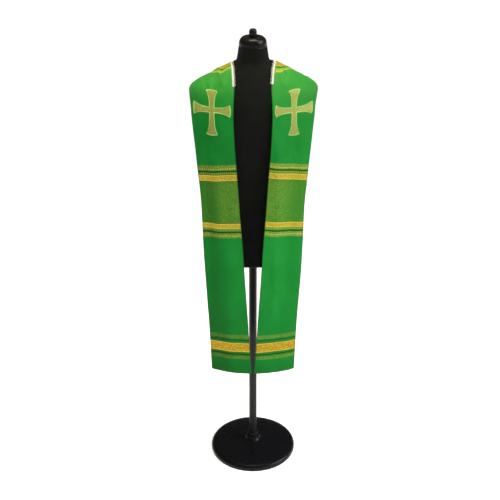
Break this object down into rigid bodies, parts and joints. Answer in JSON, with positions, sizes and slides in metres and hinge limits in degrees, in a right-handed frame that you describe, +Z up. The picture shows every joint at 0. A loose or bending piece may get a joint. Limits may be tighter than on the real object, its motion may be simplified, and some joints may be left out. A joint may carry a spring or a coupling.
{
  "type": "clerical stole on dress form",
  "caption": "Long green clerical stole with woven bands, raised crosses and a lace neck edge, worn open on a limbless black dress form with a round base.",
  "frame": {"origin": "middle of the base's flat underside, on the floor", "axes": "+Z up along the pole, the stole's front faces -Y, +X is the wearer's left"},
  "size_m": [0.416, 0.328, 1.6553],
  "materials": {
    "green_cloth": "satiny green brocade with woven gold and yellow-green bands",
    "white_lace": "white cotton picot lace",
    "pale_gold_applique": "pale gold applique with satin-stitched edge",
    "black_jersey": "matte black jersey over a padded form",
    "black_gloss": "glossy black lacquer",
    "black_metal": "satin black painted steel tube"
  },
  "bodies": {
    "root": {"stole_left_half": "green_cloth", "stole_right_half": "green_cloth", "neck_lace": "white_lace", "cross_left": "pale_gold_applique", "cross_right": "pale_gold_applique", "form_torso": "black_jersey", "form_cap": "black_gloss", "form_finial": "black_gloss", "form_base": "black_gloss", "form_pole": "black_metal"}
  },
  "joints": []
}
